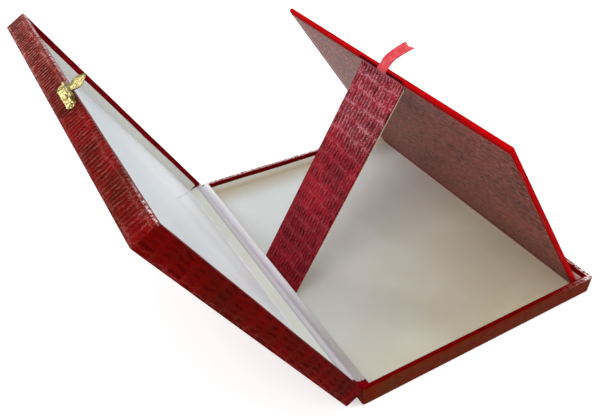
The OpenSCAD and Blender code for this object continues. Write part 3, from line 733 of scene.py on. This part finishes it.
def lid_top(x, y):
    """Thin cushion: full in the middle, rolled at the edges, and pressed down to nothing at
    the hinge wall."""
    edge = max(0.0, min(IN_X - abs(x), y - IN_FRONT) - PAD_GAP)
    hinge = IN_BACK - PAD_GAP - y
    full = (1 - 0.43 * math.exp(-edge / 1.6)) * (1 - 0.93 * math.exp(-hinge / 7))
    crown = 0.7 * (1 - (x / (IN_X - PAD_GAP)) ** 2) * (1 - ((y + 1) / 109.1) ** 2)
    wave = 0.09 * math.sin(x * 0.05) * math.sin(y * 0.043 + 2)
    wave += 0.05 * math.sin(x * 0.11 - y * 0.09)
    return 2.95 + 2.35 * full + crown + wave


tray_skin("base_leatherette", WORLD, "base", "case", ("base_wall_cover", "base_bottom_cover"),
          tape_end=142.5, glint_strength=base_rim_glints)
tray_skin("lid_leatherette", LID_UP, "lid", "case_lid", ("lid_wall_cover", "lid_top_cover"),
          tape_end=IN_X, glint_strength=lid_rim_glints)
tray_lining("base_wall_lining_paper", WORLD, "base", "wall_lining", ("base_wall_lining",),
            floor_z=3.0, back_top=14.9)
tray_lining("lid_wall_lining_paper", LID_UP, "lid", "lid_lining", ("lid_wall_lining",),
            floor_z=2.8, back_top=11.9)
pad("base_floor_lining", WORLD, "base", "base_lining", ("base_floor_pad",), floor_top)
lid_pad = pad("lid_satin_cushion", LID_UP, "lid", "lid_satin", ("lid_satin_pad",), lid_top)


# ------------------------------------------------------------------ hinge of the lid
def hinge_strip(name, x0, x1, mat, thick, cells, rim_x1=None, ragged=0.0, offset=0, place=None):
    """Strip over both hinge rims and the fold between them, from x0 to x1. rim_x1 is where it
    ends on the base's rim, if that is elsewhere. Returns it and its length across the fold."""
    roll = arc_pts((109.5, 14.55), 1.42, 180, 90, 7)          # over the rim's inner edge
    bridge = [(111.2, 15.98), (112.2, 15.98), (112.9, 16.0), (113.5, 16.09), (114.0, 16.27),
              (114.4, 16.52)]                                 # to the fold
    base_part = [(108.12, 14.1), (108.08, 14.5)] + roll + bridge
    lid_part = [(108.22, 11.75), (108.12, 11.9), (108.06, 12.3), (108.06, 13.0), (108.08, 13.8)]
    lid_part += roll + bridge
    path = [(p, WORLD) for p in base_part] + [((114.66, 16.78), WORLD)]
    path += [((y, 2 * RIM_Z - z), LID) for y, z in lid_part[::-1]]
    lens = running([T @ Vector((0, y, z)) for (y, z), T in path])
    rows = []
    for k, ((y, z), T) in enumerate(path):
        on_rim = T is WORLD and 3 <= k <= len(base_part) - 4
        end = (rim_x1 if rim_x1 and on_rim else x1) + ragged * math.sin(1.9 * k)
        rows.append([])
        for i in range(cells + 1):
            x = x0 + (end - x0) * i / cells
            lift = 0.06 * math.sin(x * 0.13 + k) * (2 < k < len(path) - 3)
            p = T @ Vector((x, y, z + (lift if T is WORLD else -lift)))
            rows[-1].append((tuple(p), (x, lens[k])))
    ob = loft(name, rows, mat, place=place)
    thicken(ob, thick, offset)
    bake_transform(ob)
    return ob, lens[-1]


tape, tape_len = hinge_strip("hinge_tape_satin", -136.0, 137.0, "tape", 0.2, cells=90,
                             rim_x1=141.6, offset=-1)
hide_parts("hinge_tape_base", "hinge_tape_lid")
# leatherette turned over the tape's near end
hinge_strip("hinge_end_leatherette", -138.8, -133.4, "case_lid", 0.6, cells=8, ragged=0.5,
            place=TURNED_IN)


def satin_edge():
    """Rolled satin edge of the lid's pad, against the hinge wall."""
    verts, uvs = [], []
    n, k = 60, 12
    for i in range(n + 1):
        x = -136.6 + 273.0 * i / n
        r = 0.72 + 0.05 * math.sin(x * 0.09) + 0.04 * math.sin(x * 0.31)
        for j in range(k):
            a = 2 * math.pi * j / k
            verts.append((x, 107.3 + r * math.cos(a),
                          3.5 + 0.06 * math.sin(x * 0.05) + r * math.sin(a)))
            uvs.append((x, r * a))
    faces = quads([[i * k + j % k for i in range(n + 1)] for j in range(k + 1)])
    faces += [list(range(k)), list(range(n * k, n * k + k))[::-1]]
    make("lid_satin_edge", verts, faces, "satin_edge", LID_UP, per_face(uvs, faces), "lid",
         sharp=60)


def corner_gore():
    """Corner of the lid's turned-in leatherette: a thin gore down the far end of the hinge
    wall, turned on to the far wall."""
    face_y, face_x = 107.78, 136.95
    rows = []
    for z, w in ((15.9, 0.0), (15.5, 1.6), (14.9, 3.2), (14.4, 3.4), (13.0, 2.6), (11.5, 1.9),
                 (9.5, 1.1), (7.5, 0.5), (5.8, 0.1)):
        on_hinge = [(137.1 - w * k / 4, face_y + 0.04 * math.sin(z + k)) for k in (4, 3, 2, 1, 0)]
        rows.append([((x, y, z), (z, x)) for x, y in on_hinge])
        for k in (1, 2, 3):
            out = 0.5 * w * k / 3
            rows[-1].append(((face_x, face_y - out, z), (z, 137 + out)))
    ob = loft("lid_corner_gore", rows, "case_lid", LID_UP, "lid", flip=True, place=TURNED_IN)
    thicken(ob, 0.2)


def spine():
    """Leatherette spine that carries the lid."""
    line = [((115.06, 12.0), WORLD), ((115.07, 14.0), WORLD), ((115.06, 15.3), WORLD),
            ((115.02, 15.9), WORLD), ((115.04, 16.15), WORLD), ((115.02, 16.4), LID),
            ((115.06, 17.0), LID), ((115.07, 18.3), LID), ((115.06, 20.3), LID)]
    lens = running([T @ Vector((0, y, z)) for (y, z), T in line])
    xs = [-138 + 276 * i / 60 for i in range(61)]
    rows = [[(tuple(T @ Vector((x, y, z))), (HALF_D + s, x)) for x in xs]
            for s, ((y, z), T) in zip(lens, line)]
    ob = loft("spine_leatherette", rows, "case", flip=True)
    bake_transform(ob)


satin_edge()
corner_gore()
spine()


# ------------------------------------------------------------------ display panel
def velvet_panel():
    """Velvet wrapped round the board, turned in on the back."""
    r, r_back = 1.3, 1.9
    prof = [(9, 0.06), (5, 0.05), (2.6, 0.0)] + arc_pts((r_back, r_back), r_back, 270, 180, 8)
    prof += [(0, 2.3), (0, PANEL_T - r)] + arc_pts((r, PANEL_T - r), r, 180, 90, 6)[1:]
    prof += [(d, PANEL_T) for d in (3, 9, 30, 60, 100)]
    rows = []
    for d, n in prof:
        rows.append([])
        for x, u in ring(PANEL_W / 2 - d, d, PANEL_L - d, max(1.0 - 1.4 * d, 0.1)):
            wob = 0.07 * math.sin(x * 0.09 + n) + 0.07 * math.sin(u * 0.11 + 2 * n)
            up = n + (wob if 0.2 < n < 3.8 else 0)
            rows[-1].append(((x, u, up), (x, up)))
    loft("panel_velvet_cover", rows, "velvet", PANEL, "panel", ("panel_velvet",), closed=True,
         cap=True, sharp=60)


def sheet_on_back(name, outline, n0, n1, stand_for=(), ny=32):
    """Thin paper on the panel's back, n1 behind it with its edge at n0. outline(s, t) gives
    (x, u)."""
    nx = 40
    rows = []
    for j in range(ny + 1):
        rows.append([])
        for i in range(nx + 1):
            x, u = outline(i / nx, j / ny)
            rows[-1].append(((x, u, n1 if min(i, nx - i, j, ny - j) else n0), (x, u)))
    loft(name, rows, "back", PANEL, "panel", stand_for, flip=True, sharp=40)


def back_outline(s, t):
    """The paper sits slightly askew: its near edge leaves more velvet towards the foot. Its
    outer columns are narrow, so that only its edge turns down."""
    left, right = -135.2 + 2.8 * (1 - t), 134.2 - 0.3 * t
    x = left + (right - left) * s
    if 0 < s <= 1 / 40:
        x = left + 0.35
    elif 39 / 40 <= s < 1:
        x = right - 0.35
    return x, 0.9 + (PANEL_L - 3.5) * t


def foot_outline(s, t):
    return -131.5 + 265.5 * s, 0.9 + 8.4 * t


def ribbon():
    """Satin pull ribbon: out from under the back paper, over the top edge, drooping in front."""
    path = [(199.0, -0.05), (204, -0.06), (207.6, -0.14)]
    path += arc_pts((210.2, 1.9), 2.1, -90, 0, 6)
    path += [(212.35, 3.0), (212.6, 4.2), (213.1, 5.6), (213.6, 7.3), (213.9, 9.2),
             (213.75, 11.2), (213.2, 13.8), (212.4, 16.8), (211.4, 20), (210.3, 23.2),
             (209.2, 26.2), (208.2, 28.7)]
    lens = running(path)
    total, held, n = lens[-1], 16, 12
    rows = []
    for (u, out), s in zip(path, lens):
        free = max(0.0, (s - held) / (total - held))
        rows.append([])
        for i in range(n + 1):
            w = i / n - 0.5
            tail = 1.3 - 2.6 * abs(2 * w) if s == total else 0.0           # notched end
            sag = 0.9 * free * w * 2 - 0.5 * free * (1 - 4 * w * w)
            rows[-1].append(((RIBBON_X + RIBBON_W * w + 1.2 * free, u + 0.53 * tail + sag,
                              out - 0.85 * tail), (RIBBON_W * w, s)))
    ob = loft("ribbon_pull", rows, "ribbon", PANEL, "panel", ("ribbon_tab",))
    thicken(ob, RIBBON_T)
    sub = ob.modifiers.new("smooth", "SUBSURF")
    sub.levels = sub.render_levels = 2


velvet_panel()
sheet_on_back("panel_back_sheet", back_outline, 0.1, -0.14, ("panel_back_paper",))
sheet_on_back("panel_foot_strip", foot_outline, -0.1, -0.34, ny=6)
ribbon()


# ------------------------------------------------------------------ strut
def strut_leather():
    """One piece of leatherette: the flap on the panel, the fold and the strut's outer face."""
    half, r = STRUT_W / 2, 0.7                       # r rounds the long edges
    # places down the flap (PANEL: u, n) and then down the strut (STRUT: down, out)
    line = [(PANEL, u, n) for u, n in (
        (209.3, -0.14), (209.25, -0.5), (209.0, -0.66), (208.2, -0.72), (207.3, -0.82),
        (206.7, -1.15), (206.3, -1.75))]
    downs = (1.6, 2.6, 4, 6, *np.linspace(9, STRUT_L - 5, 60), STRUT_L - 2.5, STRUT_L - 1.2)
    line += [(STRUT, s, STRUT_T) for s in downs]
    line += [(STRUT, s, out) for s, out in arc_pts((STRUT_L - 0.6, STRUT_T - 0.6), 0.6, 60, 0, 2)]
    line.append((STRUT, STRUT_L, 0.9))
    lens = running([T @ Vector((0, p, q) if T is PANEL else (0, -p, -q)) for T, p, q in line])
    # across: the rounded edge and its drop, the flat middle, the other edge
    turns = [math.radians(a) for a in (30, 60, 90)]
    across = [-half] + [-half + r - r * math.cos(a) for a in turns]
    drops = [r] + [r - r * math.sin(a) for a in turns]
    inner = list(np.linspace(-half + r, half - r, 25))[1:-1]
    xs = across + inner + [-x for x in across[::-1]]
    ds = drops + [0.0] * len(inner) + drops[::-1]
    rows = []
    for s, (T, p, q) in zip(lens, line):
        if T is PANEL:
            x0, low = STRUT_X, (p, min(q + r, -0.05))
            pts = [(x0 + x, p, q + min(d, abs(q) * 0.9)) for x, d in zip(xs, ds)]
        else:
            x0, low = 0, (-p, -min(0.9, q - 0.1))
            pts = [(x, -p, -(q - d)) for x, d in zip(xs, ds)]
        row = [(x0 - half, *low)] + pts + [(x0 + half, *low)]
        side = [-1.2] + [0] * len(pts) + [1.2]       # sheet beyond the edge, down the sides
        rows.append([(tuple(T @ Vector(c)), (s, c[0] - x0 + e)) for c, e in zip(row, side)])
    ob = loft("strut_leatherette", rows, "strut", flip=True, sharp=60)
    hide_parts("strut_cover", "strut_flap")
    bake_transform(ob)


strut_leather()


# ------------------------------------------------------------------ clasp
def tube(verts, faces, x0, x1, y, z, r):
    """Closed tube along x with rounded ends."""
    n, bead, start = 20, 0.18, len(verts)
    for x, rr in ((x0, r - bead), (x0 + bead, r), (x1 - bead, r), (x1, r - bead)):
        for i in range(n):
            a = 2 * math.pi * i / n
            verts.append((x, y + rr * math.cos(a), z + rr * math.sin(a)))
    rings = number(4, n, start)
    faces += quads(rings, closed=True, flip=True) + [rings[0], rings[3][::-1]]


def dome(verts, faces, cx, cy, z, rx, ry, h, tilt=0.0, n=16):
    """Low oval boss on a plate."""
    steps, start = 5, len(verts)
    ca, sa = math.cos(tilt), math.sin(tilt)
    for j in range(steps):
        t = math.pi / 2 * j / steps
        for i in range(n):
            a = 2 * math.pi * i / n
            px, py = rx * math.cos(t) * math.cos(a), ry * math.cos(t) * math.sin(a)
            verts.append((cx + px * ca - py * sa, cy + px * sa + py * ca, z + h * math.sin(t)))
    rings = number(steps, n, start)
    top = len(verts)
    verts.append((cx, cy, z + h))
    faces += quads(rings, closed=True)
    faces += [[rings[-1][i], rings[-1][(i + 1) % n], top] for i in range(n)]


def clasp_leaf():
    """Stamped leaf: knuckle on the pin, waist, veined blade with a lifted tip."""
    pin_y, pin_z, knuckle = 1.7, 2.5, 4.4
    thick = 0.5
    outline = ((1.0, 3.4), (0.0, 3.0), (-0.8, 3.3), (-2.4, 5.0), (-4.4, 6.3), (-6.4, 6.1),
               (-8.4, 4.8), (-10.2, 2.9), (-11.5, 1.2), (-12.3, 0.15))    # y, half width
    verts, faces = [], []
    tube(verts, faces, CLASP_X - knuckle, CLASP_X + knuckle, pin_y, pin_z, 1.5)

    def face_z(s, x, y, upper):
        vein = 0.32 * math.exp(-(x / 0.45) ** 2)
        slant = (0.62 * abs(x) - y) / 2.1
        vein += 0.16 * (0.5 + 0.5 * math.cos(2 * math.pi * slant)) * min(1, abs(x)) * (y < -1)
        cup = 0.42 * s ** 4 + 0.25 * s * s
        tip = 0.9 * max(0.0, (-y - 8.5) / 3.8) ** 2
        return 1.65 + cup + tip + (thick + vein if upper else 0.0)
    nx = 28
    grids = []
    for upper in (False, True):
        start = len(verts)
        rows = []
        for y in np.linspace(1.0, -12.3, 46):
            w = float(np.interp(-y, [-p[0] for p in outline], [p[1] for p in outline]))
            sides = [2 * i / nx - 1 for i in range(nx + 1)]
            rows.append([(CLASP_X + s * w, y, face_z(s, s * w, y, upper)) for s in sides])
        verts += sum(rows, [])
        grids.append(number(len(rows), nx + 1, start))
        faces += quads(grids[-1], flip=upper)
    low, high = grid_rim(grids[0]), grid_rim(grids[1])
    for k in range(len(low)):
        j = (k + 1) % len(low)
        faces.append([low[j], low[k], high[k], high[j]])
    make("clasp_leaf", verts, faces, "brass", FRONT, None, "clasp", ("clasp_tongue",), sharp=50)


def plate_relief():
    """Embossed petals and ribs that stand on the clasp plate's face."""
    cy, z, half_pitch = 5.0, 0.6, 11.0
    verts, faces = [], []
    for side in (-1, 1):
        ex = CLASP_X + side * half_pitch
        dome(verts, faces, ex + side * 2.1, cy, z, 1.35, 0.95, 0.55)
        for up in (-1, 1):
            dome(verts, faces, ex + side * 0.9, cy + 1.9 * up, z, 1.5, 0.9, 0.55, side * up * 0.75)
        dome(verts, faces, ex - side * 3.4, cy - 0.2, z, 1.3, 2.5, 0.4)
    dome(verts, faces, CLASP_X, cy + 0.7, z, 4.4, 1.8, 0.7, n=28)
    make("clasp_plate_relief", verts, faces, "brass", FRONT, None, "lid", sharp=60)


clasp_leaf()
plate_relief()

# ------------------------------------------------------------------ solids shown as they are
DRESS = {
    "wood": ("base_front_wall", "base_back_wall", "base_left_wall", "base_right_wall",
             "lid_front_wall", "lid_back_wall", "lid_left_wall", "lid_right_wall"),
    "board": ("base_board", "lid_board", "panel_board", "strut_board"),
    "cloth": ("panel_hinge_cloth_base", "panel_hinge_cloth"),
    "strut_paper": ("strut_back_paper",),
    "brass": ("catch_plate", "catch_nails", "clasp_plate", "clasp_nails", "clasp_pin"),
}
for mat, names in DRESS.items():
    for nm in names:
        ob = nodes[nm]
        ob.data.materials.clear()
        ob.data.materials.append(M[mat])
        if mat == "brass":
            weld = ob.modifiers.new("weld", "WELD")
            weld.merge_threshold = 1e-5
            bev = ob.modifiers.new("bevel", "BEVEL")
            bev.width, bev.segments, bev.limit_method = 0.00012, 2, "ANGLE"
            bev.angle_limit = math.radians(40)
for nm, ob in nodes.items():
    if not ob.hide_render and (not ob.data.materials or ob.data.materials[0] not in M.values()):
        raise RuntimeError("no material for " + nm)

# ------------------------------------------------------------------ ground, world and lights
scene = bpy.context.scene
scene.view_settings.view_transform = "Standard"
WHITE = (1, 1, 1, 1)


def seen_ray(tree, factor):
    """1 for rays that show the background directly, in gloss or through glass, times factor."""
    path = tree.nodes.new("ShaderNodeLightPath")
    out = path.outputs["Is Camera Ray"]
    for name in ("Is Glossy Ray", "Is Transmission Ray"):
        top = tree.nodes.new("ShaderNodeMath")
        top.operation = "MAXIMUM"
        tree.links.new(out, top.inputs[0])
        tree.links.new(path.outputs[name], top.inputs[1])
        out = top.outputs[0]
    mul = tree.nodes.new("ShaderNodeMath")
    mul.operation = "MULTIPLY"
    mul.inputs[1].default_value = factor
    tree.links.new(out, mul.inputs[0])
    return mul.outputs[0]


def ground():
    """Pale matt ground that glows a little where it is seen, so that it turns out white."""
    half, z = 4, -0.0003
    me = bpy.data.meshes.new("floor")
    me.from_pydata([(-half, -half, z), (half, -half, z), (half, half, z), (-half, half, z)], [],
                   [(0, 1, 2, 3)])
    m = Mat("floor", Base_Color=(0.8, 0.8, 0.8, 1), Roughness=0.9, Specular_IOR_Level=0.0)
    glow = m.node("ShaderNodeEmission")
    glow.inputs[0].default_value = WHITE
    m.put(seen_ray(m.t, 0.42), glow.inputs[1])
    both = m.node("ShaderNodeAddShader")
    m.put(m.p.outputs[0], both.inputs[0])
    m.put(glow.outputs[0], both.inputs[1])
    m.put(both.outputs[0], m.t.nodes["Material Output"].inputs[0])
    me.materials.append(m.m)
    return bpy.data.objects.new("floor", me)


floor = ground()
scene.collection.objects.link(floor)

# white world: dimmer as a light than it looks
world = bpy.data.worlds.new("world")
scene.world = world
world.use_nodes = True
w = world.node_tree
bg = w.nodes["Background"]
bg.inputs[0].default_value = WHITE
level = w.nodes.new("ShaderNodeMapRange")
level.inputs[3].default_value, level.inputs[4].default_value = 0.76, 1.0
w.links.new(seen_ray(w, 1.0), level.inputs[0])
w.links.new(level.outputs[0], bg.inputs[1])


def area(name, loc, target, size, power, color):
    d = bpy.data.lights.new(name, "AREA")
    d.shape, d.size, d.energy, d.color = "DISK", size, power, color
    o = bpy.data.objects.new(name, d)
    scene.collection.objects.link(o)
    o.location = loc
    o.rotation_euler = (Vector(target) - Vector(loc)).to_track_quat("-Z", "Y").to_euler()


area("front", (-0.25, -0.75, 1.3), (0, 0.05, 0.08), 0.8, 6, (1.0, 0.99, 0.97))
area("key", (-0.5, 1.0, 1.3), (0, 0.05, 0.08), 0.8, 8, (1.0, 0.98, 0.96))
area("side", (1.25, 0.78, 0.66), (0, 0.05, 0.1), 0.4, 7, (0.96, 0.97, 1.0))
